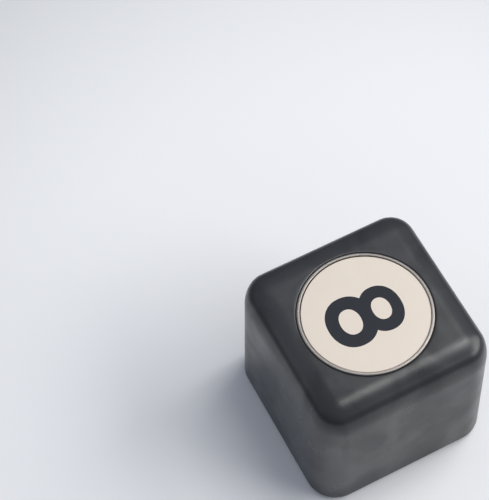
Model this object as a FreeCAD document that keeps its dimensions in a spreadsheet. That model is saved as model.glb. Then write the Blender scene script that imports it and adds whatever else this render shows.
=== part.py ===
import FreeCAD, Part
import Sketcher
import math
import os

# A billiard cue chalk cube in its magnetic rubber holder.
#
# The holder is a moulded rubber boot, open underneath, that grips a square block of
# cue chalk in its paper label. A round recess in the closed end holds a pot magnet:
# a plated steel cup, a disc magnet and, over it, a white face disc with a black 8.
#
# Millimetres. +Z is up, out of the numbered end, and +Y is the top of the 8.
# The origin is the centre of the mouth, on the surface that the holder stands on.

DIMENSIONS = [
    # the rubber boot: square, a little wider at the mouth, with every edge rounded
    ("boot_height", 26.5),
    ("boot_width_top", 28.0),
    ("boot_width_mouth", 29.2),
    ("boot_corner_mouth", 4.7),
    ("boot_top_round", 3.4),
    ("boot_mouth_round", 1.2),
    # the pocket that the chalk slides in
    ("pocket_width", 23.0),
    ("pocket_corner", 1.2),
    ("pocket_depth", 21.2),
    ("pocket_lead_in", 0.5),
    # moulded ribs that grip the chalk, two on each wall of the pocket
    ("rib_proud", 0.34),
    ("rib_width", 1.6),
    ("rib_from_centre", 5.5),
    ("rib_start", 2.2),
    ("rib_ramp", 2.0),
    ("rib_root", 0.6),
    # the round recess in the closed end
    ("recess_radius", 10.06),
    ("recess_depth", 4.3),
    ("recess_lip_round", 0.18),
    # the pot magnet, from the recess floor upwards
    ("mounting_pad_radius", 9.4),
    ("mounting_pad_thickness", 0.2),
    ("cup_radius", 10.0),
    ("cup_wall", 0.5),
    ("cup_floor", 0.6),
    ("cup_height", 4.2),
    ("cup_base_round", 0.3),
    ("cup_crest_round_outer", 0.22),
    ("cup_crest_round_inner", 0.12),
    ("magnet_radius", 9.2),
    ("magnet_thickness", 2.4),
    ("magnet_chamfer", 0.2),
    ("face_film_radius", 8.8),
    ("face_film_thickness", 0.1),
    # the face disc, which sits a little off the centre of its cup
    ("face_radius", 9.42),
    ("face_thickness", 0.95),
    ("face_edge_round", 0.1),
    ("face_off_centre_x", 0.04),
    ("face_off_centre_y", 0.03),
    # the numeral: two ovals, lower and upper, each with an oval counter
    ("numeral_thickness", 0.15),
    ("numeral_x", 0.3),
    ("numeral_y", -0.28),
    ("numeral_turn", -1.35),
    ("lower_oval_half_width", 4.19),
    ("lower_oval_half_height", 3.69),
    ("lower_oval_y", -2.16),
    ("upper_oval_half_width", 3.81),
    ("upper_oval_half_height", 3.15),
    ("upper_oval_y", 2.7),
    ("lower_counter_half_width", 2.12),
    ("lower_counter_half_height", 1.62),
    ("lower_counter_y", -2.28),
    ("upper_counter_half_width", 1.84),
    ("upper_counter_half_height", 1.4),
    ("upper_counter_y", 2.7),
    # the chalk block and its paper label
    ("chalk_width", 22.0),
    ("chalk_height", 20.7),
    ("chalk_corner", 0.6),
    ("chalk_face_chamfer", 0.4),
    ("chalk_recessed", 0.3),
    ("dimple_sphere_radius", 14.0),
    ("dimple_depth", 2.0),
    ("label_thickness", 0.12),
    ("label_bare_edge", 0.9),
    ("label_slit", 0.35),
    ("label_slit_stops_short", 0.8),
]
SHEET = "Dimensions"

# how close two lengths and two volumes must be to count as the same, mm and mm3
LENGTH_SLACK = 1e-3
VOLUME_SLACK = 1e-6

# the square boot, its pocket and its chalk each repeat four times in a full turn
QUARTERS = 4
QUARTER_TURN = 90
FULL_TURN = 360

doc = FreeCAD.newDocument("cue_chalk_cube")
sheet = doc.addObject("Spreadsheet::Sheet", SHEET)
SIZES = dict(DIMENSIONS)


def fill_sheet():
    """Writes each driving dimension to a row of the sheet, with its name as its alias."""
    for row, (name, size) in enumerate(DIMENSIONS, start=1):
        sheet.set(f"A{row}", name)
        sheet.set(f"B{row}", str(size))
        sheet.setAlias(f"B{row}", name)
    doc.recompute()


def cell(name):
    """The expression that reads one cell of the sheet."""
    return f"{SHEET}.{name}"


def bind(thing, **properties):
    """Binds properties to expressions of the sheet. A double underscore stands for a dot."""
    for path, expression in properties.items():
        thing.setExpression(path.replace("__", "."), expression)


def new_body(label):
    """A PartDesign body whose label names the sub-part."""
    body = doc.addObject("PartDesign::Body", f"{label}_body")
    body.Label = label
    return body


def new_sketch(body, name, plane, offset=None):
    """A sketch on one of the body's own origin planes, lifted off it by an expression."""
    sketch = body.newObject("Sketcher::SketchObject", name)
    support = next(f for f in body.Origin.OriginFeatures if f.Role == plane)
    sketch.AttachmentSupport = (support, [""])
    sketch.MapMode = "FlatFace"
    if offset:
        sketch.setExpression("AttachmentOffset.Base.z", offset)
    return sketch


def dimension(sketch, constraint, size, expression):
    """Adds a sized constraint that an expression drives."""
    index = sketch.addConstraint(Sketcher.Constraint(*constraint, size))
    sketch.setExpression(f"Constraints[{index}]", expression)


def rounded_square(sketch, width, corner, added=0.0, added_expression="0"):
    """A square with rounded corners, centred on the sketch's origin.

    width and corner are cell names. added widens the square on each side and grows its
    corners to match, as a layer of that thickness round it does.
    """
    half = SIZES[width] / 2 + added
    radius = SIZES[corner] + added
    straight = half - radius
    up = FreeCAD.Vector(0, 0, 1)
    sides = []
    corners = []
    for quarter in range(QUARTERS):
        turn = FreeCAD.Rotation(up, QUARTER_TURN * quarter)
        start = turn.multVec(FreeCAD.Vector(-straight, -half, 0))
        end = turn.multVec(FreeCAD.Vector(straight, -half, 0))
        sides.append(sketch.addGeometry(Part.LineSegment(start, end)))
        centre = turn.multVec(FreeCAD.Vector(straight, -straight, 0))
        first = math.radians(QUARTER_TURN * (quarter - 1))
        circle = Part.Circle(centre, up, radius)
        arc = Part.ArcOfCircle(circle, first, first + math.pi / 2)
        corners.append(sketch.addGeometry(arc))
    for quarter in range(QUARTERS):
        following = sides[(quarter + 1) % QUARTERS]
        sketch.addConstraint(
            [
                Sketcher.Constraint("Tangent", sides[quarter], 2, corners[quarter], 1),
                Sketcher.Constraint("Tangent", corners[quarter], 2, following, 1),
            ]
        )
    sketch.addConstraint(
        [
            Sketcher.Constraint("Horizontal", sides[0]),
            Sketcher.Constraint("Horizontal", sides[2]),
            Sketcher.Constraint("Vertical", sides[1]),
            Sketcher.Constraint("Vertical", sides[3]),
            Sketcher.Constraint("Equal", sides[0], sides[1]),
            Sketcher.Constraint("Equal", corners[0], corners[1]),
            Sketcher.Constraint("Equal", corners[0], corners[2]),
            Sketcher.Constraint("Equal", corners[0], corners[3]),
            Sketcher.Constraint("Symmetric", corners[0], 3, corners[2], 3, -1, 1),
        ]
    )
    wide = ("DistanceX", sides[3], 1, sides[1], 1)
    dimension(sketch, wide, 2 * half, f"{cell(width)} + 2 * ({added_expression})")
    rounding = f"{cell(corner)} + {added_expression}"
    dimension(sketch, ("Radius", corners[0]), radius, rounding)


def pad(body, name, sketch, length):
    """Pads a sketch along its normal."""
    feature = body.newObject("PartDesign::Pad", name)
    feature.Profile = sketch
    bind(feature, Length=length)
    return feature


def pocket(body, name, sketch, depth, upwards=False):
    """Pockets a sketch against its normal, or along it when upwards is set."""
    before = body.Shape.Volume
    feature = body.newObject("PartDesign::Pocket", name)
    feature.Profile = sketch
    feature.Reversed = upwards
    bind(feature, Length=depth)
    doc.recompute()
    if body.Shape.Volume > before - VOLUME_SLACK:
        raise ValueError(f"{name} cuts nothing")
    return feature


def cylinder(body, name, radius, height):
    """An upright cylinder on the body's origin."""
    feature = body.newObject("PartDesign::AdditiveCylinder", name)
    bind(feature, Radius=radius, Height=height)
    doc.recompute()
    return feature


def edges_where(feature, test):
    """The names of the feature's edges whose middle point passes the test."""
    found = []
    for index, edge in enumerate(feature.Shape.Edges, start=1):
        middle = edge.valueAt((edge.FirstParameter + edge.LastParameter) / 2)
        if test(edge, middle):
            found.append(f"Edge{index}")
    if not found:
        raise ValueError(f"{feature.Name} has no such edges")
    return found


def round_edges(body, name, test, radius):
    """Fillets the edges of the body's tip that pass the test."""
    base = body.Tip
    feature = body.newObject("PartDesign::Fillet", name)
    feature.Base = (base, edges_where(base, test))
    bind(feature, Radius=radius)
    doc.recompute()
    return feature


def chamfer_edges(body, name, test, size):
    """Chamfers the edges of the body's tip that pass the test."""
    base = body.Tip
    feature = body.newObject("PartDesign::Chamfer", name)
    feature.Base = (base, edges_where(base, test))
    bind(feature, Size=size)
    doc.recompute()
    return feature


def at_height(level):
    """A test for edges that lie at one height."""
    return lambda edge, middle: abs(middle.z - level) < LENGTH_SLACK


def at_height_within(level, reach):
    """A test for edges at one height that lie within a square of half-width reach."""
    return lambda edge, middle: (
        abs(middle.z - level) < LENGTH_SLACK
        and max(abs(middle.x), abs(middle.y)) < reach + LENGTH_SLACK
    )


def ring_at(level, radius):
    """A test for circular edges of one radius at one height."""
    return lambda edge, middle: (
        abs(middle.z - level) < LENGTH_SLACK
        and abs(math.hypot(middle.x, middle.y) - radius) < LENGTH_SLACK
    )


def is_circle(edge, middle):
    """A test for circular edges, wherever they lie."""
    return edge.Curve.TypeId == "Part::GeomCircle"


def make_boot():
    """The moulded rubber boot: tapered outside, chalk pocket, grip ribs, round recess."""
    body = new_body("holder_boot")
    height = SIZES["boot_height"]

    mouth = new_sketch(body, "BootMouthOutline", "XY_Plane")
    rounded_square(mouth, "boot_width_mouth", "boot_corner_mouth")
    outside = pad(body, "BootOutside", mouth, cell("boot_height"))
    step = f"({cell('boot_width_top')} - {cell('boot_width_mouth')}) / 2"
    bind(outside, TaperAngle=f"atan({step} / {cell('boot_height')})")
    doc.recompute()
    round_edges(body, "BootTopRound", at_height(height), cell("boot_top_round"))
    round_edges(body, "BootMouthRound", at_height(0), cell("boot_mouth_round"))

    opening = new_sketch(body, "PocketOutline", "XY_Plane")
    rounded_square(opening, "pocket_width", "pocket_corner")
    pocket(body, "ChalkPocket", opening, cell("pocket_depth"), upwards=True)
    pocket_mouth = at_height_within(0, SIZES["pocket_width"] / 2)
    chamfer_edges(body, "PocketLeadIn", pocket_mouth, cell("pocket_lead_in"))

    recess = new_sketch(body, "RecessOutline", "XY_Plane", cell("boot_height"))
    circle = Part.Circle(
        FreeCAD.Vector(0, 0, 0), FreeCAD.Vector(0, 0, 1), SIZES["recess_radius"]
    )
    recess.addGeometry(circle)
    recess.addConstraint(Sketcher.Constraint("Coincident", 0, 3, -1, 1))
    dimension(recess, ("Radius", 0), SIZES["recess_radius"], cell("recess_radius"))
    pocket(body, "MagnetRecess", recess, cell("recess_depth"))
    lip = ring_at(height, SIZES["recess_radius"])
    round_edges(body, "RecessLipRound", lip, cell("recess_lip_round"))

    add_grip_ribs(body)
    return body


def add_grip_ribs(body):
    """Two ribs on one wall of the pocket, each with a ramp at the mouth end, patterned
    to the four walls."""
    wall = f"{cell('pocket_width')} / 2"
    inner = SIZES["pocket_width"] / 2 - SIZES["rib_proud"]
    root = SIZES["pocket_width"] / 2 + SIZES["rib_root"]
    start = SIZES["rib_start"]
    ramp_end = start + SIZES["rib_ramp"]
    floor = SIZES["pocket_depth"]
    ribs = []
    for name, side in (("Left", -1), ("Right", 1)):
        offset = f"{side} * {cell('rib_from_centre')}"
        profile = new_sketch(body, f"Rib{name}Profile", "YZ_Plane", offset)
        corners = [(root, start), (root, floor), (inner, floor), (inner, ramp_end)]
        for first, second in zip(corners, corners[1:] + corners[:1]):
            ends = [FreeCAD.Vector(*point, 0) for point in (first, second)]
            profile.addGeometry(Part.LineSegment(*ends))
        for line in range(len(corners)):
            following = (line + 1) % len(corners)
            profile.addConstraint(
                Sketcher.Constraint("Coincident", line, 2, following, 1)
            )
        profile.addConstraint(Sketcher.Constraint("Vertical", 0))
        profile.addConstraint(Sketcher.Constraint("Horizontal", 1))
        profile.addConstraint(Sketcher.Constraint("Vertical", 2))
        root_at = f"{wall} + {cell('rib_root')}"
        inner_at = f"{wall} - {cell('rib_proud')}"
        ramp_at = f"{cell('rib_start')} + {cell('rib_ramp')}"
        dimension(profile, ("DistanceX", -1, 1, 0, 1), root, root_at)
        dimension(profile, ("DistanceX", -1, 1, 2, 1), inner, inner_at)
        dimension(profile, ("DistanceY", -1, 1, 0, 1), start, cell("rib_start"))
        dimension(profile, ("DistanceY", -1, 1, 1, 1), floor, cell("pocket_depth"))
        dimension(profile, ("DistanceY", -1, 1, 2, 2), ramp_end, ramp_at)
        rib = pad(body, f"Rib{name}", profile, cell("rib_width"))
        rib.Midplane = True
        doc.recompute()
        ribs.append(rib)
    pattern = body.newObject("PartDesign::PolarPattern", "GripRibs")
    pattern.Originals = ribs
    upright = next(f for f in body.Origin.OriginFeatures if f.Role == "Z_Axis")
    pattern.Axis = (upright, [""])
    pattern.Angle = FULL_TURN
    pattern.Occurrences = QUARTERS
    body.Tip = pattern
    doc.recompute()


def make_mounting_pad():
    """The adhesive pad between the recess floor and the magnet's cup."""
    body = new_body("mounting_pad")
    radius = cell("mounting_pad_radius")
    cylinder(body, "PadDisc", radius, cell("mounting_pad_thickness"))
    bind(body, Placement__Base__z=f"{cell('boot_height')} - {cell('recess_depth')}")
    return body


def cup_base():
    """The expression for the height of the cup's underside."""
    recess_floor = f"{cell('boot_height')} - {cell('recess_depth')}"
    return f"{recess_floor} + {cell('mounting_pad_thickness')}"


def make_magnet_cup():
    """The plated steel cup of the pot magnet, with a rounded crest."""
    body = new_body("magnet_cup")
    height = SIZES["cup_height"]
    inner_radius = SIZES["cup_radius"] - SIZES["cup_wall"]
    cylinder(body, "CupBlank", cell("cup_radius"), cell("cup_height"))
    hollow = body.newObject("PartDesign::SubtractiveCylinder", "CupHollow")
    bind(
        hollow,
        Radius=f"{cell('cup_radius')} - {cell('cup_wall')}",
        Height=cell("cup_height"),
        AttachmentOffset__Base__z=cell("cup_floor"),
    )
    support = next(f for f in body.Origin.OriginFeatures if f.Role == "XY_Plane")
    hollow.AttachmentSupport = (support, [""])
    hollow.MapMode = "FlatFace"
    doc.recompute()
    outer_radius = SIZES["cup_radius"]
    base_ring = ring_at(0, outer_radius)
    round_edges(body, "CupBaseRound", base_ring, cell("cup_base_round"))
    outer_ring = ring_at(height, outer_radius)
    round_edges(body, "CrestOuterRound", outer_ring, cell("cup_crest_round_outer"))
    inner_ring = ring_at(height, inner_radius)
    round_edges(body, "CrestInnerRound", inner_ring, cell("cup_crest_round_inner"))
    bind(body, Placement__Base__z=cup_base())
    return body


def make_magnet_disc():
    """The disc magnet on the cup's floor."""
    body = new_body("magnet_disc")
    cylinder(body, "MagnetBlank", cell("magnet_radius"), cell("magnet_thickness"))
    chamfer_edges(body, "MagnetChamfer", is_circle, cell("magnet_chamfer"))
    bind(body, Placement__Base__z=f"{cup_base()} + {cell('cup_floor')}")
    return body


def face_film_base():
    """The expression for the height of the magnet's upper face."""
    return f"{cup_base()} + {cell('cup_floor')} + {cell('magnet_thickness')}"


def make_face_film():
    """The adhesive film that fixes the face disc to the magnet."""
    body = new_body("face_film")
    cylinder(body, "FilmDisc", cell("face_film_radius"), cell("face_film_thickness"))
    bind(body, Placement__Base__z=face_film_base())
    return body


def oval(name, half_width, half_height, y, thickness):
    """An upright solid with an oval outline, wider across X than along Y."""
    outline = doc.addObject("Part::Ellipse", f"{name}Outline")
    bind(
        outline,
        MajorRadius=cell(half_width),
        MinorRadius=cell(half_height),
        Placement__Base__y=cell(y),
    )
    solid = doc.addObject("Part::Extrusion", name)
    solid.Base = outline
    solid.DirMode = "Custom"
    solid.Dir = FreeCAD.Vector(0, 0, 1)
    solid.Solid = True
    bind(solid, LengthFwd=thickness)
    return solid


def make_numeral():
    """The black 8, inlaid flush with the top of the face disc."""
    thickness = cell("numeral_thickness")
    ovals = {
        part: oval(
            f"Numeral_{part}", f"{part}_half_width", f"{part}_half_height", f"{part}_y", thickness
        )
        for part in ("lower_oval", "upper_oval", "lower_counter", "upper_counter")
    }
    strokes = doc.addObject("Part::MultiFuse", "NumeralOutside")
    strokes.Shapes = [ovals["lower_oval"], ovals["upper_oval"]]
    counters = doc.addObject("Part::MultiFuse", "NumeralCounters")
    counters.Shapes = [ovals["lower_counter"], ovals["upper_counter"]]
    numeral = doc.addObject("Part::Cut", "Numeral")
    numeral.Label = "numeral_eight"
    numeral.Base = strokes
    numeral.Tool = counters
    # any turn about +Z fixes the axis; the sheet then drives the angle
    upright = FreeCAD.Vector(0, 0, 1)
    numeral.Placement.Rotation = FreeCAD.Rotation(upright, SIZES["numeral_turn"])
    face_top = f"{face_film_base()} + {cell('face_film_thickness')} + {cell('face_thickness')}"
    bind(
        numeral,
        Placement__Base__x=cell("numeral_x"),
        Placement__Base__y=cell("numeral_y"),
        Placement__Base__z=f"{face_top} - {cell('numeral_thickness')}",
        Placement__Rotation__Angle=cell("numeral_turn"),
    )
    return numeral


def make_face_disc(numeral):
    """The white face disc, with the numeral's bed cut into it."""
    blank = doc.addObject("PartDesign::Body", "FaceBlank")
    cylinder(blank, "FaceCylinder", cell("face_radius"), cell("face_thickness"))
    top_ring = ring_at(SIZES["face_thickness"], SIZES["face_radius"])
    round_edges(blank, "FaceEdgeRound", top_ring, cell("face_edge_round"))
    bind(
        blank,
        Placement__Base__x=cell("face_off_centre_x"),
        Placement__Base__y=cell("face_off_centre_y"),
        Placement__Base__z=f"{face_film_base()} + {cell('face_film_thickness')}",
    )
    disc = doc.addObject("Part::Cut", "FaceDisc")
    disc.Label = "face_disc"
    disc.Base = blank
    disc.Tool = numeral
    return disc


def make_chalk_block():
    """The block of cue chalk, with a dished face at the mouth."""
    body = new_body("chalk_block")
    outline = new_sketch(body, "ChalkOutline", "XY_Plane")
    rounded_square(outline, "chalk_width", "chalk_corner")
    pad(body, "ChalkBlank", outline, cell("chalk_height"))
    doc.recompute()
    chamfer_edges(body, "ChalkFaceChamfer", at_height(0), cell("chalk_face_chamfer"))
    dimple = body.newObject("PartDesign::SubtractiveSphere", "Dimple")
    support = next(f for f in body.Origin.OriginFeatures if f.Role == "XY_Plane")
    dimple.AttachmentSupport = (support, [""])
    dimple.MapMode = "FlatFace"
    below = f"{cell('dimple_depth')} - {cell('dimple_sphere_radius')}"
    bind(dimple, Radius=cell("dimple_sphere_radius"), AttachmentOffset__Base__z=below)
    doc.recompute()
    bind(body, Placement__Base__z=cell("chalk_recessed"))
    return body


def make_chalk_label():
    """The paper label: one panel over the closed end and four folded down the sides,
    parted by a slit along each upright edge of the block."""
    body = new_body("chalk_label")
    thickness = cell("label_thickness")
    skirt = f"{cell('chalk_height')} - {cell('label_bare_edge')}"

    outside = new_sketch(body, "LabelOutside", "XY_Plane")
    layer = SIZES["label_thickness"]
    rounded_square(outside, "chalk_width", "chalk_corner", layer, thickness)
    pad(body, "LabelBlank", outside, f"{skirt} + {thickness}")
    doc.recompute()
    inside = new_sketch(body, "LabelInside", "XY_Plane")
    rounded_square(inside, "chalk_width", "chalk_corner")
    pocket(body, "LabelHollow", inside, skirt, upwards=True)

    slit = new_sketch(body, "LabelSlit", "XY_Plane")
    add_diagonal_strip(slit)
    slit_height = f"{skirt} - {cell('label_slit_stops_short')}"
    first_slits = pocket(body, "LabelSlits", slit, slit_height, upwards=True)
    pattern = body.newObject("PartDesign::PolarPattern", "LabelSlitsCrossed")
    pattern.Originals = [first_slits]
    upright = next(f for f in body.Origin.OriginFeatures if f.Role == "Z_Axis")
    pattern.Axis = (upright, [""])
    pattern.Angle = FULL_TURN
    pattern.Occurrences = QUARTERS
    body.Tip = pattern
    doc.recompute()
    bind(body, Placement__Base__z=f"{cell('chalk_recessed')} + {cell('label_bare_edge')}")
    return body


def add_diagonal_strip(sketch):
    """A strip from the centre out through one corner of the block."""
    half = SIZES["label_slit"] / 2
    reach = SIZES["chalk_width"]
    eighth_turn = QUARTER_TURN / 2
    diagonal = FreeCAD.Rotation(FreeCAD.Vector(0, 0, 1), eighth_turn)
    corners = [(0, -half), (reach, -half), (reach, half), (0, half)]
    points = [diagonal.multVec(FreeCAD.Vector(x, y, 0)) for x, y in corners]
    for first, second in zip(points, points[1:] + points[:1]):
        sketch.addGeometry(Part.LineSegment(first, second))
    for line in range(len(corners)):
        following = (line + 1) % len(corners)
        sketch.addConstraint(Sketcher.Constraint("Coincident", line, 2, following, 1))
    for line in (1, 2, 3):
        sketch.addConstraint(Sketcher.Constraint("Perpendicular", line - 1, line))
    leaning = Sketcher.Constraint("Angle", 0, math.radians(eighth_turn))
    angle = sketch.addConstraint(leaning)
    sketch.setExpression(f"Constraints[{angle}]", f"{eighth_turn} deg")
    sketch.addConstraint(Sketcher.Constraint("Symmetric", 0, 1, 2, 2, -1, 1))
    dimension(sketch, ("Distance", 3), 2 * half, cell("label_slit"))
    dimension(sketch, ("Distance", 0), reach, cell("chalk_width"))


def check(parts):
    """Stops on any failed object, and on any sub-part that is not a sound solid."""
    for thing in doc.Objects:
        if {"Invalid", "Error"} & set(thing.State):
            raise ValueError(f"{thing.Name} failed: {thing.State}")
    for part in parts:
        shape = part.Shape
        if shape.isNull() or not shape.isValid() or not shape.Solids:
            raise ValueError(f"{part.Label} has no valid solid")


def main():
    fill_sheet()
    numeral = make_numeral()
    parts = [
        make_boot(),
        make_mounting_pad(),
        make_magnet_cup(),
        make_magnet_disc(),
        make_face_film(),
        make_face_disc(numeral),
        numeral,
        make_chalk_block(),
        make_chalk_label(),
    ]
    doc.recompute()
    check(parts)
    os.makedirs("parts", exist_ok=True)
    for part in parts:
        box = part.Shape.BoundBox
        print(
            f"{part.Label}: {part.Shape.Volume:.2f} mm3, {len(part.Shape.Solids)} solid,"
            f" x {box.XMin:.2f} to {box.XMax:.2f}, y {box.YMin:.2f} to {box.YMax:.2f},"
            f" z {box.ZMin:.2f} to {box.ZMax:.2f}"
        )
        part.Shape.exportStep(f"parts/{part.Label}.step")


main()
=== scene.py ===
import math

import bmesh
import bpy
from mathutils import Matrix, Vector, noise


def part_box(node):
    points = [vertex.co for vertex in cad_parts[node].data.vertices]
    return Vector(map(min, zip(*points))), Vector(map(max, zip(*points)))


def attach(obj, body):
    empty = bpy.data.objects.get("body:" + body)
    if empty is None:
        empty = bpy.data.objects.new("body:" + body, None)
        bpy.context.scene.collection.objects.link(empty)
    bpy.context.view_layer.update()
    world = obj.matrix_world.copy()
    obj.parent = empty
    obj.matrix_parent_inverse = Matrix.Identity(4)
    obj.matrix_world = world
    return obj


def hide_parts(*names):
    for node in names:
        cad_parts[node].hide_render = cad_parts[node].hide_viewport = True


# The looks of a billiard cue chalk cube in its magnetic rubber holder.
# Lengths are written in millimetres and turned into metres where a mesh, lamp or
# camera is made. +Z is up, out of the numbered end, and +Y is the top of the 8.

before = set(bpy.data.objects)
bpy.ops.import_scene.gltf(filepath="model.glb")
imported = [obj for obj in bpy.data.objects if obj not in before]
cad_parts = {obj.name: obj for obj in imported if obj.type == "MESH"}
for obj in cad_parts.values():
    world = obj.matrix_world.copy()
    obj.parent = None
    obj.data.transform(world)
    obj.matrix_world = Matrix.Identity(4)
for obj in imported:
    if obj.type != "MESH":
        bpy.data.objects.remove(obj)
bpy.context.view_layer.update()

MM = 0.001
UP = Vector((0, 0, 1))
SHARP_ANGLE = 40  # edges that turn by more degrees than this are kept crisp


# ---------------------------------------------------------------- sizes, from the frame

def node_box(node):
    """A CAD node's lowest and highest corners in millimetres."""
    low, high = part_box(node)
    return low / MM, high / MM


def node_radius(node):
    """Half of a round CAD node's width in millimetres."""
    low, high = node_box(node)
    return (high.x - low.x) / 2


def node_centre(node):
    """The middle of a CAD node in plan, in millimetres."""
    low, high = node_box(node)
    return Vector(((low.x + high.x) / 2, (low.y + high.y) / 2))


BOOT_LOW, BOOT_HIGH = node_box("holder_boot")
BOOT_HEIGHT = BOOT_HIGH.z - BOOT_LOW.z
MOUTH_HALF = 14.6
MOUTH_CORNER = 4.7
TAPER = 0.6 / BOOT_HEIGHT
MOUTH_ROUND = 1.2
# the rounding of the top edge, from the flat top outwards: radius, and lean of its end
TOP_ROUNDS = ((6.4, 22), (2.2, 72), (10, 90 - math.degrees(math.atan(TAPER))))

POCKET_HALF = 11.5
POCKET_CORNER = 1.2
POCKET_DEPTH = 21.2
LEAD_IN = 0.5
RIB_FROM_CENTRE = 5.5
RIB_HALF_WIDTH = 0.8
RIB_PROUD = 0.34
RIB_START = 2.2
RIB_RAMP = 2.0

RECESS_RADIUS = 10.06
RECESS_FLOOR = node_box("mounting_pad")[0].z
RECESS_LIP = 0.18
LIP_MARGIN = 0.26  # from the lip of the recess to the first square ring of the top
LIP_REACH = RECESS_RADIUS + RECESS_LIP + LIP_MARGIN
CUP_CLEARANCE = 0.06

CHALK_LOW, CHALK_HIGH = node_box("chalk_block")
CHALK_HALF = (CHALK_HIGH.x - CHALK_LOW.x) / 2
CHALK_CORNER = 0.6
CHALK_CHAMFER = 0.4
DIMPLE_RADIUS = 14.0
DIMPLE_DEPTH = 2.0

LABEL_LOW, LABEL_HIGH = node_box("chalk_label")
LABEL_HALF = (LABEL_HIGH.x - LABEL_LOW.x) / 2
LABEL_THICKNESS = LABEL_HALF - CHALK_HALF
LABEL_FOLD = 0.3
SLIT_TOP_INSET = 0.8
BORDER_HALF = 9.2
BORDER_INSET = 1.9
BORDER_WIDTH = 0.3


# ---------------------------------------------------------------- mesh building

def add_piece(name, body, slot, material, mesh, *nodes):
    """Puts a finished mesh in the scene, riding on a body in place of CAD nodes."""
    piece = bpy.data.objects.new(name, mesh)
    bpy.context.scene.collection.objects.link(piece)
    mesh.materials.append(material)
    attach(piece, body)
    if nodes:
        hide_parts(*nodes)


def mesh_from(name, points, faces):
    """A smooth-shaded mesh from points in millimetres, facing outwards."""
    mesh = bpy.data.meshes.new(name)
    mesh.from_pydata([point * MM for point in points], [], faces)
    shape = bmesh.new()
    shape.from_mesh(mesh)
    bmesh.ops.recalc_face_normals(shape, faces=shape.faces)
    shape.to_mesh(mesh)
    shape.free()
    mesh.shade_smooth()
    mesh.set_sharp_from_angle(angle=math.radians(SHARP_ANGLE))
    return mesh


def skin_rings(rings, start_pole=None, end_pole=None):
    """Points and faces of a skin over rings that all have the same number of points."""
    count = len(rings[0])
    points = [point for ring in rings for point in ring]
    faces = []
    for lower in range(len(rings) - 1):
        for step in range(count):
            after = (step + 1) % count
            first = lower * count
            second = first + count
            faces.append((first + step, first + after, second + after, second + step))
    if start_pole is not None:
        points.append(start_pole)
        pole = len(points) - 1
        faces += [((step + 1) % count, step, pole) for step in range(count)]
    if end_pole is not None:
        points.append(end_pole)
        pole = len(points) - 1
        last = (len(rings) - 1) * count
        faces += [(last + step, last + (step + 1) % count, pole) for step in range(count)]
    return points, faces


def arc(centre, radius, first, last, steps):
    """Points (across, height) along an arc of a profile, angles in degrees."""
    angles = [math.radians(first + (last - first) * i / steps) for i in range(steps + 1)]
    return [
        (centre[0] + radius * math.cos(angle), centre[1] + radius * math.sin(angle))
        for angle in angles
    ]


def line(start, end, steps):
    """Points along a straight stretch of a profile, without its first point."""
    return [
        tuple(a + (b - a) * i / steps for a, b in zip(start, end))
        for i in range(1, steps + 1)
    ]


def lathe(profile, steps=192, centre=(0, 0)):
    """A closed skin turned about an upright axis. The profile's first and last points
    lie on the axis."""
    rings = []
    for across, height in profile[1:-1]:
        ring = []
        for step in range(steps):
            angle = 2 * math.pi * step / steps
            x = centre[0] + across * math.cos(angle)
            y = centre[1] + across * math.sin(angle)
            ring.append(Vector((x, y, height)))
        rings.append(ring)
    start = Vector((*centre, profile[0][1]))
    end = Vector((*centre, profile[-1][1]))
    return skin_rings(rings, start, end)


def side_shares():
    """Where the points of a square's side lie, from -1 to 1, closer at the ribs."""
    straight = POCKET_HALF - POCKET_CORNER
    shares = {round(-1 + i / 16, 4) for i in range(33)}
    for side in (-1, 1):
        for edge in (-1, 1):
            for inset in (-0.12, -0.05, 0.05, 0.12):
                across = side * RIB_FROM_CENTRE + edge * (RIB_HALF_WIDTH + inset)
                shares.add(round(across / straight, 4))
    return sorted(shares)


SIDE_SHARES = side_shares()
CORNER_STEPS = 18


def square_ring(half, corner, height):
    """A ring round a square with rounded corners, four sides and four corners."""
    corner = max(corner, 1e-3)
    straight = half - corner
    ring = []
    for quarter in range(4):
        turn = Matrix.Rotation(math.radians(90 * quarter), 3, UP)
        for share in SIDE_SHARES:
            ring.append(turn @ Vector((share * straight, -half, height)))
        for step in range(1, CORNER_STEPS):
            angle = math.radians(-90 + 90 * step / CORNER_STEPS)
            x = straight + corner * math.cos(angle)
            y = -straight + corner * math.sin(angle)
            ring.append(turn @ Vector((x, y, height)))
    return ring


def round_ring(radius, height, like):
    """A round ring whose points lie in the same directions as another ring's."""
    ring = []
    for point in like:
        direction = Vector((point.x, point.y, 0)).normalized() * radius
        ring.append(direction + Vector((0, 0, height)))
    return ring


def between(first, second, steps):
    """Rings evenly spaced between two rings, without the two themselves."""
    return [
        [a.lerp(b, i / steps) for a, b in zip(first, second)] for i in range(1, steps)
    ]


def smooth(value, low, high):
    """0 below low, 1 above high, and a smooth step between."""
    share = min(max((value - low) / (high - low), 0), 1)
    return share * share * (3 - 2 * share)


# ---------------------------------------------------------------- the holder's meshes

def boot_half_width(height):
    """Half the boot's width at a height, before its edges are rounded."""
    return MOUTH_HALF - TAPER * height


def top_rounding():
    """Steps (outwards, down) over the boot's top edge, from the flat top to the wall. It
    eases in and out with gentle arcs, as a moulded edge does."""
    across = down = lean = 0
    steps = [(across, down)]
    for radius, last in TOP_ROUNDS:
        last = math.radians(last)
        for step in range(1, 13):
            angle = lean + (last - lean) * step / 12
            out = across + radius * (math.sin(angle) - math.sin(lean))
            steps.append((out, down + radius * (math.cos(lean) - math.cos(angle))))
        across, down = steps[-1]
        lean = last
    return steps


def top_flat_half():
    """Half the width of the flat of the boot's top."""
    reach, drop = top_rounding()[-1]
    return boot_half_width(BOOT_HEIGHT - drop) - reach


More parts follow.
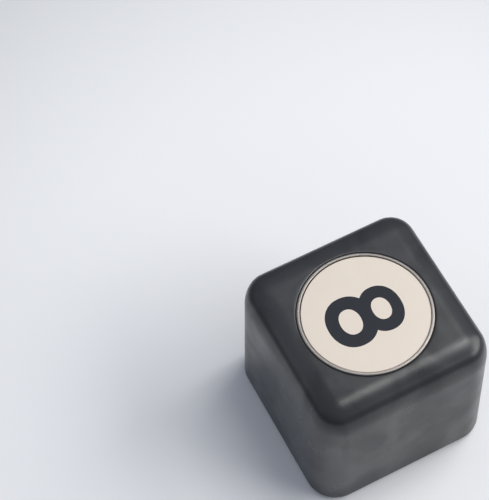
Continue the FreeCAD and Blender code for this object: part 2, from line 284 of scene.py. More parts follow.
def top_height(across):
    """How high the boot's top is at a distance across, near the edge of its flat."""
    radius = TOP_ROUNDS[0][0]
    past = max(0, across - top_flat_half())
    return BOOT_HEIGHT - radius + math.sqrt(radius**2 - past**2)


def laid_on_top(ring, below=0):
    """A ring with its points laid on the boot's top, or a little below it."""
    return [
        Vector((point.x, point.y, top_height(max(abs(point.x), abs(point.y))) - below))
        for point in ring
    ]


def boot_outside():
    """Rings up the outside of the boot, from the mouth's rim to just outside the lip of
    the recess."""
    lean = math.atan(TAPER)
    low_centre = boot_half_width(MOUTH_ROUND) - MOUTH_ROUND / math.cos(lean)
    profile = arc((low_centre, MOUTH_ROUND), MOUTH_ROUND, -90, math.degrees(lean), 12)
    flat = top_flat_half()
    upper = [
        (flat + out, BOOT_HEIGHT - down)
        for out, down in reversed(top_rounding())
        if flat + out > LIP_REACH
    ]
    upper.append((LIP_REACH, top_height(LIP_REACH)))
    profile += line(profile[-1], upper[0], 36)
    profile += upper[1:]
    return [
        square_ring(across, MOUTH_CORNER - MOUTH_HALF + across, height)
        for across, height in profile
    ]


def pocket_ring(height):
    """A ring round the pocket's wall, with the grip ribs standing out of it."""
    proud = RIB_PROUD * smooth(height, RIB_START, RIB_START + RIB_RAMP)
    ring = []
    for point in square_ring(POCKET_HALF, POCKET_CORNER, height):
        along, out = sorted((abs(point.x), abs(point.y)))
        reach = abs(along - RIB_FROM_CENTRE) - RIB_HALF_WIDTH
        if out > POCKET_HALF - 1e-4 and reach < 0.12:
            scale = 1 - proud * (1 - smooth(reach, -0.12, 0.12)) / POCKET_HALF
            point = point.copy()
            if abs(point.x) > abs(point.y):
                point.x *= scale
            else:
                point.y *= scale
        ring.append(point)
    return ring


def boot_mesh():
    """The whole boot as one closed skin, from the recess floor, over the top, down the
    outside and up into the pocket."""
    outside = boot_outside()
    around = outside[-1]
    lip = RECESS_RADIUS + RECESS_LIP
    lip_profile = arc((lip, BOOT_HEIGHT - RECESS_LIP), RECESS_LIP, 180, 90, 6)
    wall = line((RECESS_RADIUS, RECESS_FLOOR), lip_profile[0], 6)
    recess = [
        round_ring(across, height, around)
        for across, height in [
            (RECESS_RADIUS * 0.5, RECESS_FLOOR),
            (RECESS_RADIUS, RECESS_FLOOR),
            *wall[:-1],
        ]
    ]
    for across, height in lip_profile:
        ring = round_ring(across, height, around)
        recess.append(laid_on_top(ring, below=BOOT_HEIGHT - height))
    top = [laid_on_top(ring) for ring in between(recess[-1], around, 8)]
    rings = recess + top + outside[::-1]
    lead_in = POCKET_HALF + LEAD_IN
    rim = square_ring(lead_in, POCKET_CORNER + LEAD_IN, 0)
    rings += between(rings[-1], rim, 3) + [rim]
    rings.append(square_ring(POCKET_HALF + 0.08, POCKET_CORNER + 0.08, LEAD_IN - 0.08))
    wall_steps = 44
    for step in range(wall_steps + 1):
        height = LEAD_IN + (POCKET_DEPTH - LEAD_IN) * step / wall_steps
        rings.append(pocket_ring(height))
    floor = square_ring(POCKET_HALF * 0.5, POCKET_CORNER * 0.5, POCKET_DEPTH)
    rings += between(rings[-1], floor, 3) + [floor]
    start = Vector((0, 0, RECESS_FLOOR))
    end = Vector((0, 0, POCKET_DEPTH))
    points, faces = skin_rings(rings, start, end)
    return mesh_from("holder_boot_skin", [settle(point) for point in points], faces)


def settle(point):
    """Moves a point of the boot's outer skin in by up to two hundredths, as moulded
    rubber shrinks unevenly. The pocket, the recess and the rim stay true."""
    half = max(abs(point.x), abs(point.y))
    outer = smooth(half, POCKET_HALF + 1.2, POCKET_HALF + 2.2)
    if outer == 0:
        return point
    swell = noise.noise(point * 0.11 + Vector((3.1, 7.7, 1.9)))
    inward = 0.02 * outer * (0.5 + 0.5 * swell)
    scale = 1 - inward / half
    return Vector((point.x * scale, point.y * scale, point.z))


def cup_mesh():
    """The magnet's steel cup, drawn from sheet, with a rolled crest."""
    low, high = node_box("magnet_cup")
    radius = RECESS_RADIUS - CUP_CLEARANCE
    wall = 0.5
    floor = low.z + 0.6
    base_round = 0.3
    outer_round = 0.22
    inner_round = 0.12
    floor_round = 0.25
    profile = [(0, low.z), (radius * 0.5, low.z)]
    profile += arc((radius - base_round, low.z + base_round), base_round, -90, 0, 8)
    crest = high.z - outer_round
    profile += line(profile[-1], (radius, crest), 6)
    profile += arc((radius - outer_round, crest), outer_round, 0, 90, 10)[1:]
    inner = radius - wall
    profile += arc((inner + inner_round, high.z - inner_round), inner_round, 90, 180, 8)
    profile += line(profile[-1], (inner, floor + floor_round), 6)
    profile += arc((inner - floor_round, floor + floor_round), floor_round, 0, -90, 6)[1:]
    profile += [(inner * 0.5, floor), (0, floor)]
    points, faces = lathe(profile, 256)
    return mesh_from("magnet_cup_skin", points, faces)


# ---------------------------------------------------------------- the numeral's outline

NUMERAL_SQUARENESS = 2.14
NUMERAL_CENTRE = Vector((0.3, -0.28))
NUMERAL_TURN = math.radians(-1.35)
LOWER_OVAL = (4.15, 3.67, -2.18)
UPPER_OVAL = (3.78, 3.13, 2.72)
LOWER_COUNTER = (2.1, 1.6, -2.28)
UPPER_COUNTER = (1.82, 1.38, 2.7)
INK_PROUD = 0.003


def oval_point(oval, angle):
    """A point of a slightly squared oval: half-width, half-height and the height of its
    centre."""
    half_width, half_height, middle = oval
    power = 2 / NUMERAL_SQUARENESS
    across = math.copysign(abs(math.cos(angle)) ** power, math.cos(angle))
    along = math.copysign(abs(math.sin(angle)) ** power, math.sin(angle))
    return Vector((half_width * across, middle + half_height * along))


def inside_oval(oval, point):
    """Whether a point lies inside an oval."""
    half_width, half_height, middle = oval
    reach = abs(point.x / half_width) ** NUMERAL_SQUARENESS
    reach += abs((point.y - middle) / half_height) ** NUMERAL_SQUARENESS
    return reach < 1


def waist_angle(oval, other, low, high):
    """The angle on the right of an oval at which it passes into the other oval."""
    for _ in range(40):
        middle = (low + high) / 2
        if inside_oval(other, oval_point(oval, middle)):
            high = middle
        else:
            low = middle
    return low


def numeral_outline():
    """The outside of the 8: the two ovals' outer arcs, joined by small rounds at the
    waist, in the numeral's own frame."""
    ease = 0.075
    steps = 150
    lower = waist_angle(LOWER_OVAL, UPPER_OVAL, 0, math.pi / 2) - ease
    upper = -waist_angle(UPPER_OVAL, LOWER_OVAL, 0, -math.pi / 2) - ease
    lower_arc = [
        oval_point(LOWER_OVAL, math.pi - lower + (math.pi + 2 * lower) * i / steps)
        for i in range(steps + 1)
    ]
    upper_arc = [
        oval_point(UPPER_OVAL, -upper + (math.pi + 2 * upper) * i / steps)
        for i in range(steps + 1)
    ]
    right = waist_round(lower_arc[-1], upper_arc[0])
    left = waist_round(upper_arc[-1], lower_arc[0])
    return lower_arc + right + upper_arc + left


def waist_round(first, last):
    """Points of a small round between two ends, bowed in towards the stem."""
    middle = (first + last) / 2
    bowed = middle - Vector((math.copysign(0.3, middle.x), 0))
    points = []
    for share in (0.2, 0.4, 0.6, 0.8):
        points.append(first.lerp(bowed, share).lerp(bowed.lerp(last, share), share))
    return points


def counter_outline(oval):
    """The outline of one of the numeral's counters."""
    return [oval_point(oval, 2 * math.pi * i / 96) for i in range(96)]


def placed(outline):
    """An outline moved from the numeral's own frame to its place on the face."""
    turn = Matrix.Rotation(NUMERAL_TURN, 2)
    return [turn @ point + NUMERAL_CENTRE for point in outline]


def numeral_solid(name, low, high):
    """A mesh of the numeral between two heights."""
    curve = bpy.data.curves.new(name, "CURVE")
    curve.dimensions = "2D"
    curve.fill_mode = "BOTH"
    curve.extrude = (high - low) / 2 * MM
    outlines = (
        numeral_outline(),
        counter_outline(LOWER_COUNTER),
        counter_outline(UPPER_COUNTER),
    )
    for outline in outlines:
        spline = curve.splines.new("POLY")
        spline.points.add(len(outline) - 1)
        for target, point in zip(spline.points, placed(outline)):
            target.co = (point.x * MM, point.y * MM, 0, 1)
        spline.use_cyclic_u = True
    drawn = bpy.data.objects.new(name, curve)
    mesh = bpy.data.meshes.new_from_object(drawn)
    bpy.data.objects.remove(drawn)
    bpy.data.curves.remove(curve)
    shape = bmesh.new()
    shape.from_mesh(mesh)
    bmesh.ops.remove_doubles(shape, verts=shape.verts, dist=1e-7)
    bmesh.ops.recalc_face_normals(shape, faces=shape.faces)
    shape.to_mesh(mesh)
    shape.free()
    mesh.transform(Matrix.Translation((0, 0, (low + high) / 2 * MM)))
    mesh.materials.clear()
    mesh.shade_smooth()
    mesh.set_sharp_from_angle(angle=math.radians(SHARP_ANGLE))
    return mesh


def face_mesh():
    """The white face disc, with a rounded edge and the numeral's bed cut into it."""
    low, high = node_box("face_disc")
    radius = node_radius("face_disc")
    edge = 0.09
    base_round = 0.08
    profile = [(0, low.z), (radius * 0.6, low.z)]
    profile += arc((radius - base_round, low.z + base_round), base_round, -90, 0, 4)
    profile += line(profile[-1], (radius, high.z - edge), 3)
    profile += arc((radius - edge, high.z - edge), edge, 0, 90, 10)[1:]
    profile += [(0, high.z)]
    points, faces = lathe(profile, 256, node_centre("face_disc"))
    blank = bpy.data.objects.new("face_blank", mesh_from("face_blank", points, faces))
    bed = node_box("numeral_eight")[0].z
    cutter_mesh = numeral_solid("numeral_cutter", bed, high.z + 1)
    cutter = bpy.data.objects.new("numeral_cutter", cutter_mesh)
    for thing in (blank, cutter):
        bpy.context.scene.collection.objects.link(thing)
    cut = blank.modifiers.new("bed", "BOOLEAN")
    cut.operation = "DIFFERENCE"
    cut.solver = "EXACT"
    cut.object = cutter
    bpy.context.view_layer.update()
    solved = blank.evaluated_get(bpy.context.evaluated_depsgraph_get())
    mesh = bpy.data.meshes.new_from_object(solved)
    for thing in (blank, cutter):
        bpy.data.objects.remove(thing)
    mesh.materials.clear()
    mesh.shade_smooth()
    mesh.set_sharp_from_angle(angle=math.radians(30))
    return mesh


# ---------------------------------------------------------------- the chalk's meshes

def chalk_mesh():
    """The chalk block, with a dished and lightly worn face and grainy, chipped edges."""
    sphere_middle = CHALK_LOW.z + DIMPLE_DEPTH - DIMPLE_RADIUS
    reach = math.asin(math.sqrt(DIMPLE_RADIUS**2 - (CHALK_LOW.z - sphere_middle) ** 2)
                      / DIMPLE_RADIUS)
    flat = square_ring(CHALK_HALF - CHALK_CHAMFER, 0.3, CHALK_LOW.z)
    rings = []
    for step in range(1, 29):
        angle = reach * step / 28
        across = DIMPLE_RADIUS * math.sin(angle)
        height = sphere_middle + DIMPLE_RADIUS * math.cos(angle)
        rings.append(round_ring(across, height, flat))
    rings += between(rings[-1], flat, 10) + [flat]
    start = CHALK_LOW.z + CHALK_CHAMFER
    rings.append(square_ring(CHALK_HALF - 0.12, CHALK_CORNER - 0.12, start - 0.2))
    wall_steps = 40
    for step in range(wall_steps + 1):
        height = start + (CHALK_HIGH.z - start) * step / wall_steps
        rings.append(square_ring(CHALK_HALF, CHALK_CORNER, height))
    top = square_ring(CHALK_HALF * 0.5, 0.3, CHALK_HIGH.z)
    rings += between(rings[-1], top, 4) + [top]
    low = Vector((0, 0, CHALK_LOW.z + DIMPLE_DEPTH))
    high = Vector((0, 0, CHALK_HIGH.z))
    points, faces = skin_rings(rings, low, high)
    return mesh_from("chalk_skin", [weather(point) for point in points], faces)


def weather(point):
    """Moves a point of the chalk inwards by a grain or a chip, most on its bare edges."""
    middle = Vector((0, 0, (CHALK_LOW.z + CHALK_HIGH.z) / 2))
    inward = (middle - point).normalized()
    half = max(abs(point.x), abs(point.y))
    height = point.z - CHALK_LOW.z
    grain = 0.03 * (0.5 + 0.5 * noise.noise(point * 2.3))
    near_face = 1 - smooth(height, 0.2, 1.1)
    edge = near_face * smooth(half, CHALK_HALF - 0.9, CHALK_HALF - 0.3)
    chip = max(0, noise.noise(point * 0.9 + Vector((5, 2, 8))) - 0.12)
    wear = 0.08 * (0.5 + 0.5 * noise.noise(point * 0.5))
    return point + inward * (grain * near_face + edge * (0.6 * chip + wear))


def label_mesh():
    """The paper label: a panel over the closed end and four folded down the sides, with
    a slit at each upright edge, as a sheet that is then given its thickness."""
    slit_steps = (CORNER_STEPS // 2 - 3, CORNER_STEPS // 2 + 3)
    profile = line((LABEL_HALF, LABEL_LOW.z), (LABEL_HALF, LABEL_HIGH.z - LABEL_FOLD), 44)
    profile = [(LABEL_HALF, LABEL_LOW.z)] + profile
    fold_middle = (LABEL_HALF - LABEL_FOLD, LABEL_HIGH.z - LABEL_FOLD)
    profile += arc(fold_middle, LABEL_FOLD, 0, 90, 8)[1:]
    corner = CHALK_CORNER + LABEL_THICKNESS
    rings = [
        square_ring(across, corner - LABEL_HALF + across, height)
        for across, height in profile
    ]
    count = len(rings[0])
    inner = square_ring(LABEL_HALF * 0.5, 0.1, LABEL_HIGH.z)
    rings += between(rings[-1], inner, 6) + [inner]
    points, faces = skin_rings(rings, end_pole=Vector((0, 0, LABEL_HIGH.z)))
    slit_top = LABEL_HIGH.z - SLIT_TOP_INSET
    quarter = count // 4
    first_corner = len(SIDE_SHARES) - 1
    kept = []
    for face in faces:
        step = min(face[0] % count, face[1] % count) % quarter
        if {face[0] % count, face[1] % count} == {0, count - 1}:
            step = quarter - 1
        in_slit = slit_steps[0] <= step - first_corner < slit_steps[1]
        middle = sum((points[i].z for i in face)) / len(face)
        if not (in_slit and middle < slit_top):
            kept.append(face)
    points = [crease(point) for point in points]
    mesh = mesh_from("chalk_label_sheet", points, kept)
    sheet = bpy.data.objects.new("chalk_label_sheet", mesh)
    bpy.context.scene.collection.objects.link(sheet)
    thicken = sheet.modifiers.new("paper", "SOLIDIFY")
    thicken.thickness = LABEL_THICKNESS * MM
    thicken.offset = -1
    bpy.context.view_layer.update()
    solved = sheet.evaluated_get(bpy.context.evaluated_depsgraph_get())
    solid = bpy.data.meshes.new_from_object(solved)
    bpy.data.objects.remove(sheet)
    solid.materials.clear()
    solid.shade_smooth()
    solid.set_sharp_from_angle(angle=math.radians(SHARP_ANGLE))
    return solid


def crease(point):
    """Waves the label's lower edge by about a tenth, as cut paper sits."""
    low = 1 - smooth(point.z - LABEL_LOW.z, 0, 1.5)
    wave = noise.noise(Vector((point.x * 0.35, point.y * 0.35, 4.2)))
    return point + Vector((0, 0, 0.12 * low * (0.5 + 0.5 * wave)))


# ---------------------------------------------------------------- materials

class Finish:
    """A node material whose patterns are laid out in millimetres of the row frame."""

    def __init__(self, name):
        self.material = bpy.data.materials.new(name)
        self.material.use_nodes = True
        self.nodes = self.material.node_tree.nodes
        self.links = self.material.node_tree.links
        self.shader = self.nodes["Principled BSDF"]
        place = self.nodes.new("ShaderNodeTexCoord")
        scale = self.nodes.new("ShaderNodeVectorMath")
        scale.operation = "SCALE"
        scale.inputs["Scale"].default_value = 1 / MM
        self.links.new(place.outputs["Object"], scale.inputs[0])
        self.place = scale.outputs["Vector"]

    def set(self, **values):
        """Sets constant values on the shader's own sockets."""
        for name, value in values.items():
            self.shader.inputs[name.replace("_", " ")].default_value = value

    def feed(self, output, socket):
        """Links an output to one of the shader's sockets."""
        self.links.new(output, self.shader.inputs[socket])

    def math(self, operation, first, second=0.0, clamp=False):
        """A Math node of two numbers or outputs."""
        node = self.nodes.new("ShaderNodeMath")
        node.operation = operation
        node.use_clamp = clamp
        for socket, value in zip(node.inputs, (first, second)):
            if isinstance(value, (int, float)):
                socket.default_value = value
            else:
                self.links.new(value, socket)
        return node.outputs[0]

    def stretched(self, x, y, z):
        """The place scaled differently along each axis."""
        node = self.nodes.new("ShaderNodeVectorMath")
        node.operation = "MULTIPLY"
        self.links.new(self.place, node.inputs[0])
        node.inputs[1].default_value = (x, y, z)
        return node.outputs["Vector"]

    def noise(self, scale, detail=3.0, roughness=0.55, place=None, swirl=0.0):
        """Soft noise with about that many features to the millimetre."""
        node = self.nodes.new("ShaderNodeTexNoise")
        node.inputs["Scale"].default_value = scale
        node.inputs["Detail"].default_value = detail
        node.inputs["Roughness"].default_value = roughness
        node.inputs["Distortion"].default_value = swirl
        self.links.new(place or self.place, node.inputs["Vector"])
        return node.outputs["Fac"]

    def cells(self, scale):
        """The distance to the nearest of scattered points, for specks and pits."""
        node = self.nodes.new("ShaderNodeTexVoronoi")
        node.inputs["Scale"].default_value = scale
        self.links.new(self.place, node.inputs["Vector"])
        return node.outputs["Distance"]

    def span(self, value, low, high, to_low=0.0, to_high=1.0):
        """Maps a range of a value smoothly to another range, and holds it at its ends."""
        node = self.nodes.new("ShaderNodeMapRange")
        node.interpolation_type = "SMOOTHSTEP"
        self.links.new(value, node.inputs["Value"])
        node.inputs["From Min"].default_value = low
        node.inputs["From Max"].default_value = high
        node.inputs["To Min"].default_value = to_low
        node.inputs["To Max"].default_value = to_high
        return node.outputs["Result"]

    def mix(self, share, first, second):
        """A colour between two colours or colour outputs."""
        node = self.nodes.new("ShaderNodeMix")
        node.data_type = "RGBA"
        self.links.new(share, node.inputs["Factor"])
        for socket, colour in zip((node.inputs["A"], node.inputs["B"]), (first, second)):
            self.colour_input(node, socket, colour)
        return node.outputs[2]

    def colour_input(self, node, socket, colour):
        """Sets or links one of a Mix node's two colours."""
        target = next(s for s in node.inputs if s.name == socket.name and s.type == "RGBA")
        if isinstance(colour, tuple):
            target.default_value = (*colour, 1)
        else:
            self.links.new(colour, target)

    def axis(self, name):
        """One coordinate of the place, in millimetres."""
        node = self.nodes.new("ShaderNodeSeparateXYZ")
        self.links.new(self.place, node.inputs[0])
        return node.outputs[name]

    def from_axis(self, x=0.0, y=0.0):
        """The distance from an upright axis, in millimetres."""
        across = self.math("SUBTRACT", self.axis("X"), x)
        along = self.math("SUBTRACT", self.axis("Y"), y)
        square = self.math("ADD", self.math("POWER", across, 2), self.math("POWER", along, 2))
        return self.math("SQRT", square)

    def bump(self, *layers):
        """Stacks bumps, each an output and the height in millimetres that it stands for."""
        under = None
        for height, depth in layers:
            node = self.nodes.new("ShaderNodeBump")
            node.inputs["Distance"].default_value = depth * MM
            self.links.new(height, node.inputs["Height"])
            if under is not None:
                self.links.new(under, node.inputs["Normal"])
            under = node.outputs["Normal"]
        self.links.new(under, self.shader.inputs["Normal"])


def rubber():
    """Satin charcoal rubber: fine moulded grain, uneven gloss, dust at the mouth."""
    finish = Finish("boot_rubber")
    cloud = finish.noise(0.16, 4, 0.6)
    tone = finish.mix(cloud, (0.023, 0.0245, 0.0275), (0.034, 0.0345, 0.0365))
    handled = finish.noise(0.08, 2.5, 0.5, finish.stretched(1, 1.3, 0.9), 0.9)
    finish.feed(finish.span(handled, 0.38, 0.64, 0.32, 0.66), "Specular IOR Level")
    height = finish.axis("Z")
    low = finish.span(height, 0.3, 1.6, 1, 0)
    near, far = POCKET_HALF + 0.4, POCKET_HALF + 0.9
    inside = finish.span(finish.math("ABSOLUTE", finish.axis("X")), near, far, 1, 0)
    inside_y = finish.span(finish.math("ABSOLUTE", finish.axis("Y")), near, far, 1, 0)
    pocket = finish.math("MULTIPLY", inside, inside_y)
    below = finish.span(height, POCKET_DEPTH + 0.1, POCKET_DEPTH + 0.4, 1, 0)
    pocket = finish.math("MULTIPLY", pocket, below)
    where = finish.math("MAXIMUM", pocket, finish.math("MULTIPLY", low, 0.35))
    dust = finish.math("MULTIPLY", where, finish.span(finish.noise(1.7, 6, 0.7), 0.45, 0.7))
    dust = finish.math("MULTIPLY", dust, 0.55)
    finish.feed(finish.mix(dust, tone, (0.1, 0.21, 0.36)), "Base Color")
    gloss = finish.span(finish.noise(0.22, 3, 0.55), 0.3, 0.7, 0.27, 0.34)
    rough = finish.math("ADD", gloss, finish.math("MULTIPLY", dust, 0.5), clamp=True)
    finish.feed(rough, "Roughness")
    finish.bump(
        (finish.noise(0.12, 2), 0.05),
        (finish.noise(9, 3, 0.6), 0.004),
    )
    return finish.material


def plated_steel():
    """Satin plating over drawn steel: fine rings round the cup, and faint handling."""
    finish = Finish("cup_plating")
    rings = finish.nodes.new("ShaderNodeCombineXYZ")
    finish.links.new(finish.math("MULTIPLY", finish.from_axis(), 14), rings.inputs["X"])
    finish.links.new(finish.math("MULTIPLY", finish.axis("Z"), 14), rings.inputs["Y"])
    grooves = finish.noise(1, 3, 0.6, rings.outputs[0])
    smear = finish.noise(0.5, 3)
    finish.feed(finish.mix(smear, (0.32, 0.295, 0.268), (0.405, 0.378, 0.35)), "Base Color")
    finish.feed(finish.span(smear, 0.3, 0.7, 0.4, 0.5), "Roughness")
    finish.set(Metallic=1.0)
    finish.bump((grooves, 0.004), (finish.noise(3, 2), 0.003))
    return finish.material


def white_face():
    """Warm white card under a matt coat, with faint mottling, and painted shade as a darker,
    warmer ring at its edge where it meets the cup.
    """
    finish = Finish("face_white")
    centre = node_centre("face_disc")
    radius = node_radius("face_disc")
    mottle = finish.noise(0.35, 4, 0.6)
    white = finish.mix(mottle, (0.79, 0.69, 0.58), (0.835, 0.745, 0.64))
    # painted shade: the outer 0.15 mm turns darker and warmer, standing in for the shade
    # where the face meets the cup
    edge = finish.span(finish.from_axis(*centre), radius - 0.15, radius, 0, 0.5)
    white = finish.mix(edge, white, (0.66, 0.56, 0.44))
    specks = finish.span(finish.cells(1.6), 0.02, 0.07, 0.35, 0)
    finish.feed(finish.mix(specks, white, (0.5, 0.44, 0.38)), "Base Color")
    finish.feed(finish.span(mottle, 0.3, 0.7, 0.5, 0.62), "Roughness")
    finish.bump((finish.noise(7, 3), 0.0025))
    return finish.material


def black_ink():
    """Dense black ink, a little uneven."""
    finish = Finish("numeral_black")
    cloud = finish.noise(1.2, 4, 0.65)
    finish.feed(finish.mix(cloud, (0.017, 0.02, 0.027), (0.024, 0.027, 0.034)), "Base Color")
    finish.set(Specular_IOR_Level=0.25)
    finish.feed(finish.span(cloud, 0.3, 0.7, 0.48, 0.6), "Roughness")
    finish.bump((finish.noise(9, 3), 0.002))
    return finish.material


def cue_chalk():
    """Pressed blue chalk: powdery, speckled and pitted, with painted shade darkening the
    pits.
    """
    finish = Finish("cue_chalk")
    grain = finish.noise(6, 8, 0.75)
    cloud = finish.noise(0.3, 5, 0.6)
    blue = finish.mix(cloud, (0.045, 0.17, 0.38), (0.08, 0.25, 0.5))
    blue = finish.mix(finish.span(grain, 0.45, 0.75, 0, 0.5), blue, (0.22, 0.42, 0.64))
    # painted shade: the colour darkens in the pits, where the bump makes dents
    pits = finish.span(finish.cells(3.2), 0.05, 0.2, 1, 0)
    finish.feed(finish.mix(finish.math("MULTIPLY", pits, 0.6), blue, (0.02, 0.09, 0.22)),
                "Base Color")
    finish.set(Roughness=0.95, Specular_IOR_Level=0.2, Sheen_Weight=0.25)
    finish.bump(
        (finish.cells(3.2), 0.03),
        (grain, 0.05),
    )
    return finish.material


def label_paper():
    """Printed blue paper with a pale border line, worn white along its folds."""
    finish = Finish("label_paper")
    across = finish.math("ABSOLUTE", finish.axis("X"))
    along = finish.math("ABSOLUTE", finish.axis("Y"))
    height = finish.axis("Z")
    smaller = finish.math("MINIMUM", across, along)
    larger = finish.math("MAXIMUM", across, along)
    fibre = finish.noise(2.2, 6, 0.7, finish.stretched(1, 1, 3))
    ink = finish.mix(fibre, (0.03, 0.085, 0.2), (0.045, 0.115, 0.25))
    side_line = band(finish, smaller, BORDER_HALF, BORDER_WIDTH)
    low_line = band(finish, height, LABEL_LOW.z + BORDER_INSET, BORDER_WIDTH)
    high_line = band(finish, height, LABEL_HIGH.z - BORDER_INSET, BORDER_WIDTH)
    within = finish.span(smaller, 9.3, 9.4, 1, 0)
    tall = finish.math(
        "MULTIPLY",
        finish.span(height, LABEL_LOW.z + 1.7, LABEL_LOW.z + 1.8),
        finish.span(height, LABEL_HIGH.z - 1.8, LABEL_HIGH.z - 1.7, 1, 0),
    )
    uprights = finish.math("MULTIPLY", side_line, tall)
    levels = finish.math("MULTIPLY", finish.math("MAXIMUM", low_line, high_line), within)
    side = finish.math("MAXIMUM", uprights, levels)
    top = finish.span(height, LABEL_HIGH.z - 0.1, LABEL_HIGH.z - 0.05)
    frame_line = band(finish, larger, BORDER_HALF, BORDER_WIDTH)
    border = finish.math("MAXIMUM", side, finish.math("MULTIPLY", top, frame_line))
    printed = finish.mix(border, ink, (0.62, 0.62, 0.58))
    fold_high = finish.span(height, LABEL_HIGH.z - 0.6, LABEL_HIGH.z - 0.2)
    fold_out = finish.span(larger, LABEL_HALF - 0.35, LABEL_HALF - 0.05)
    fold = finish.math("MULTIPLY", fold_high, fold_out)
    upright_fold = finish.span(smaller, CHALK_HALF - 0.8, CHALK_HALF - 0.3)
    worn = finish.math("MAXIMUM", fold, upright_fold)
    worn = finish.math("MULTIPLY", worn, finish.span(finish.noise(2.6, 6, 0.7), 0.42, 0.6))
    colour = finish.mix(finish.math("MULTIPLY", worn, 0.8), printed, (0.6, 0.61, 0.6))
    dusty = finish.span(height, LABEL_LOW.z, LABEL_LOW.z + 3.5, 0.7, 0.08)
    dust = finish.math("MULTIPLY", dusty, finish.span(finish.noise(1.3, 7, 0.7), 0.4, 0.7))
    finish.feed(finish.mix(dust, colour, (0.12, 0.3, 0.52)), "Base Color")
    finish.feed(finish.span(fibre, 0.3, 0.7, 0.45, 0.62), "Roughness")
    finish.bump((finish.noise(0.25, 2), 0.06), (fibre, 0.006))
    return finish.material


def band(finish, value, middle, width):
    """1 within a narrow band of a value, 0 outside it, with soft edges."""
    away = finish.math("ABSOLUTE", finish.math("SUBTRACT", value, middle))
    return finish.span(away, width / 2 - 0.03, width / 2 + 0.03, 1, 0)


def bright_magnet():
    """Nickel plating on the disc magnet, with a fine orange-peel."""
    finish = Finish("magnet_plating")
    peel = finish.noise(2.5, 3)
    finish.feed(finish.mix(peel, (0.58, 0.56, 0.53), (0.68, 0.66, 0.64)), "Base Color")
    finish.feed(finish.span(peel, 0.3, 0.7, 0.16, 0.26), "Roughness")
    finish.set(Metallic=1.0)
    finish.bump((peel, 0.006))
    return finish.material


def adhesive(name, dark, light, roughness):
    """Acrylic adhesive with trapped bubbles."""
    finish = Finish(name)
    cloud = finish.noise(0.8, 4)
    bubbles = finish.span(finish.cells(1.1), 0.08, 0.2, 1, 0)
    tone = finish.mix(cloud, dark, light)
    pale = tuple(min(1, channel * 1.4) for channel in light)
    finish.feed(finish.mix(finish.math("MULTIPLY", bubbles, 0.5), tone, pale), "Base Color")
    finish.feed(finish.span(cloud, 0.3, 0.7, roughness, roughness + 0.15), "Roughness")
    finish.bump((bubbles, 0.01), (cloud, 0.01))
    return finish.material


def repaint(node, material):
    """Gives a CAD node, kept as it is, a material of its own."""
    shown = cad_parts[node]
    shown.data.materials.clear()
    shown.data.materials.append(material)


# ---------------------------------------------------------------- the floor and the light

def floor_material():
    """Pale matt board, with painted shade: dimmer away from the holder, standing in for light
    that falls off.
    """
    finish = Finish("pale_floor_painted_falloff")
    cloud = finish.noise(0.01, 2)
    pale = finish.mix(cloud, (0.91, 0.91, 0.91), (0.93, 0.93, 0.93))
    # painted shade: the board's colour darkens from 50 to 170 mm out, standing in for light
    # falling off
    away = finish.span(finish.from_axis(), 50, 170)
    finish.feed(finish.mix(away, pale, (0.4, 0.41, 0.42)), "Base Color")
    finish.set(Roughness=0.9, Specular_IOR_Level=0.1)
    return finish.material


def add_floor():
    """A broad round floor that the holder stands on."""
    radius = 3000
    sides = 96
    ring = []
    for side in range(sides):
        turn = 2 * math.pi * side / sides
        point = Vector((radius * math.cos(turn), radius * math.sin(turn), BOOT_LOW.z))
        ring.append(point * MM)
    mesh = bpy.data.meshes.new("floor")
    mesh.from_pydata(ring, [], [tuple(range(sides))])
    floor = bpy.data.objects.new("floor", mesh)
    bpy.context.scene.collection.objects.link(floor)
    mesh.materials.append(floor_material())


def add_softbox(name, direction, distance, width, height, radiance, colour=(1, 1, 1)):
    """A rectangular soft light aimed at the holder. Radiance is its brightness."""
    lamp = bpy.data.lights.new(name, "AREA")
    lamp.shape = "RECTANGLE"
    lamp.size = width * MM
    lamp.size_y = height * MM
    lamp.energy = radiance * math.pi * lamp.size * lamp.size_y
    lamp.color = colour
    light = bpy.data.objects.new(name, lamp)
    bpy.context.scene.collection.objects.link(light)
    towards = Vector(direction).normalized()
    target = Vector((0, 0, BOOT_HEIGHT / 2))
    light.location = (target + towards * distance) * MM
    light.rotation_mode = "QUATERNION"
    light.rotation_quaternion = towards.to_track_quat("Z", "Y")


def add_world():
    """A dim studio: cool and dark near the floor, lighter overhead."""
    world = bpy.data.worlds.new("studio")
    world.use_nodes = True
    nodes = world.node_tree.nodes
    links = world.node_tree.links
    place = nodes.new("ShaderNodeTexCoord")
    split = nodes.new("ShaderNodeSeparateXYZ")
    ramp = nodes.new("ShaderNodeValToRGB")
    links.new(place.outputs["Generated"], split.inputs[0])
    links.new(split.outputs["Z"], ramp.inputs["Fac"])
    ramp.color_ramp.elements[0].position = 0.0
    ramp.color_ramp.elements[0].color = (0.108, 0.128, 0.168, 1)
    ramp.color_ramp.elements[1].position = 0.85
    ramp.color_ramp.elements[1].color = (0.365, 0.4, 0.47, 1)
    links.new(ramp.outputs["Color"], nodes["Background"].inputs["Color"])
    bpy.context.scene.world = world


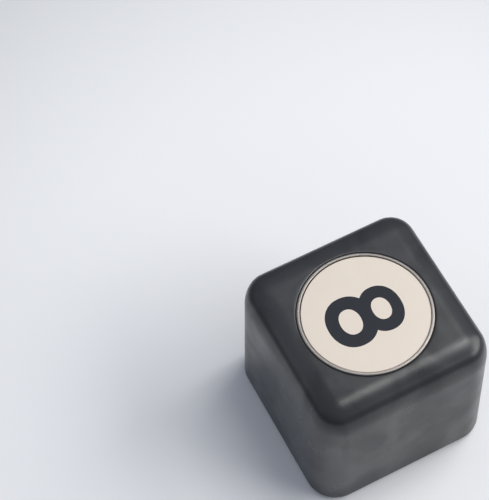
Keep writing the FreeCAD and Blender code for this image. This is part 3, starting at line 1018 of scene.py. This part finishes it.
def add_camera():
    """The camera, from the front right and above, rolled a little."""
    right = Vector((0.45957, 0.88783, -0.02342)).normalized()
    back = Vector((0.45194, -0.21107, 0.86672)).normalized()
    up = back.cross(right).normalized()
    right = up.cross(back)
    lens = bpy.data.cameras.new("camera")
    lens.sensor_width = 36
    lens.lens = 129.82
    lens.clip_start = 0.01
    lens.clip_end = 20
    camera = bpy.data.objects.new("camera", lens)
    bpy.context.scene.collection.objects.link(camera)
    turn = Matrix((right, up, back)).transposed()
    place = Vector((102.336, -66.539, 256.346)) * MM
    camera.matrix_world = Matrix.Translation(place) @ turn.to_4x4()
    bpy.context.scene.camera = camera


# ---------------------------------------------------------------- the scene

def add_holder():
    """The boot and the magnet assembly in its closed end."""
    add_piece("boot", "holder", "boot_rubber", rubber(), boot_mesh(), "holder_boot")
    add_piece("cup", "holder", "cup_plating", plated_steel(), cup_mesh(), "magnet_cup")
    add_piece("face", "holder", "face_white", white_face(), face_mesh(), "face_disc")
    low, high = node_box("numeral_eight")
    numeral = numeral_solid("numeral", low.z, high.z + INK_PROUD)
    add_piece("eight", "holder", "numeral_black", black_ink(), numeral, "numeral_eight")
    repaint("magnet_disc", bright_magnet())
    pad = adhesive("adhesive_pad", (0.12, 0.12, 0.12), (0.2, 0.2, 0.2), 0.6)
    film = adhesive("adhesive_film", (0.6, 0.6, 0.57), (0.72, 0.72, 0.68), 0.35)
    repaint("mounting_pad", pad)
    repaint("face_film", film)


def add_chalk():
    """The chalk block in its label."""
    add_piece("chalk", "chalk", "cue_chalk", cue_chalk(), chalk_mesh(), "chalk_block")
    add_piece("label", "chalk", "label_paper", label_paper(), label_mesh(), "chalk_label")


add_holder()
add_chalk()
add_floor()
add_world()
add_softbox("key", (-0.12, 0.35, 0.93), 700, 180, 330, 7.4, (1.0, 0.98, 0.95))
add_softbox("back", (0.3, 0.75, 0.6), 900, 950, 480, 4.1, (1.0, 0.98, 0.955))
add_softbox("fill", (-0.45, -0.75, 0.48), 900, 700, 600, 0.26, (1.0, 0.98, 0.955))
add_camera()
bpy.context.scene.view_settings.view_transform = "Standard"
